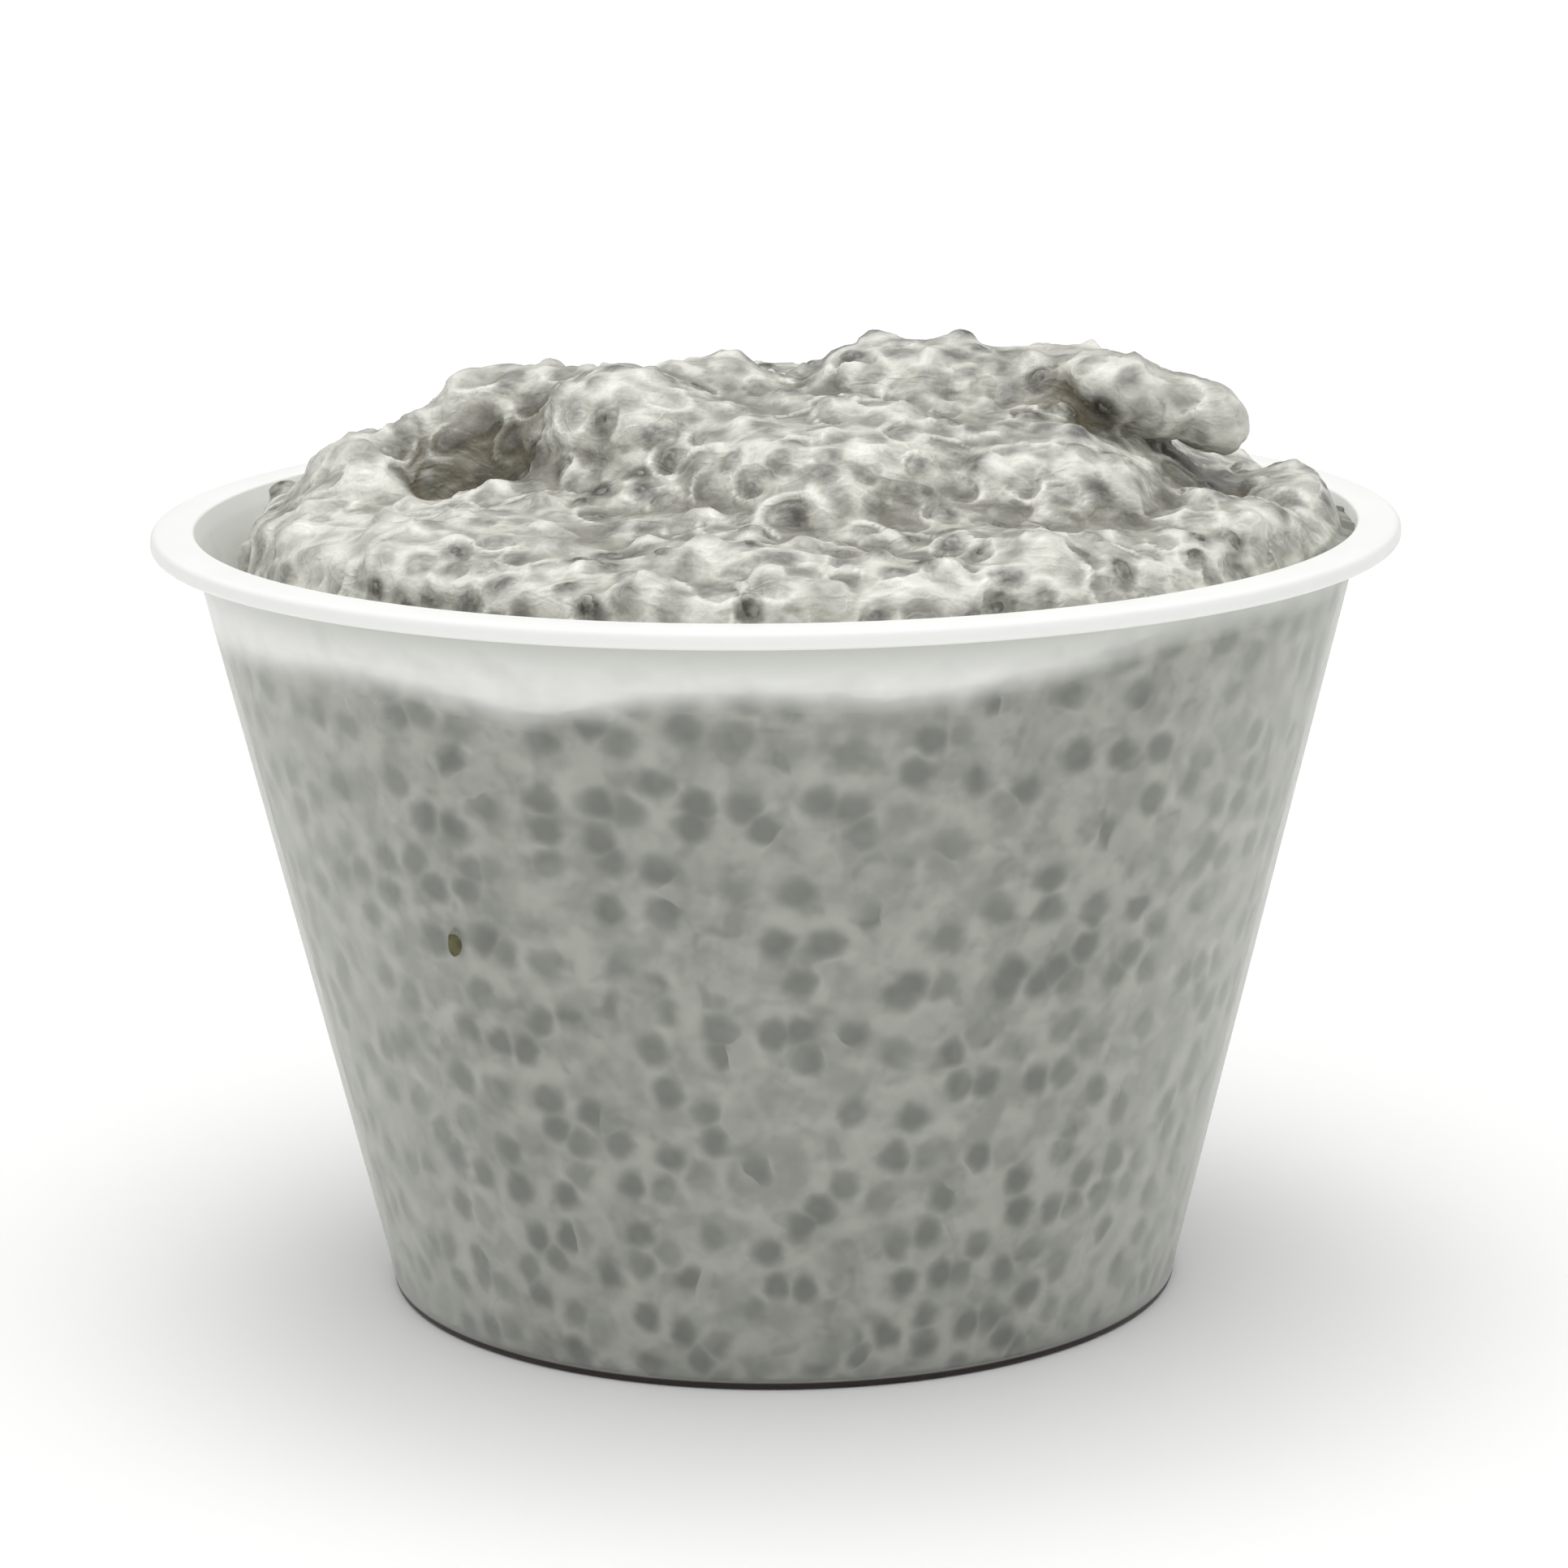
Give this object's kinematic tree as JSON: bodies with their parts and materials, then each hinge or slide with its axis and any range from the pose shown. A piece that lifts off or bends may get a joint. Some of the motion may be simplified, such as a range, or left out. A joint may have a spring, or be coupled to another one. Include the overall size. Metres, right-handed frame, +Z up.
{
  "type": "chia pudding in a portion cup",
  "caption": "Chia pudding in a round frosted plastic portion cup with a flat flanged rim, filled to the wall and heaped in uneven spoonfuls above the rim.",
  "frame": {"origin": "centre of the cup's foot ring, on the surface that the cup stands on", "axes": "+Z up along the cup's axis, -Y towards the side that the picture shows, +X to that side's right"},
  "size_m": [0.074, 0.074, 0.0571],
  "materials": {
    "frosted_plastic": "milky translucent polypropylene, smooth, with a soft gloss",
    "pudding": null
  },
  "bodies": {
    "root": {"cup": "frosted_plastic", "pudding": "pudding"}
  },
  "joints": []
}
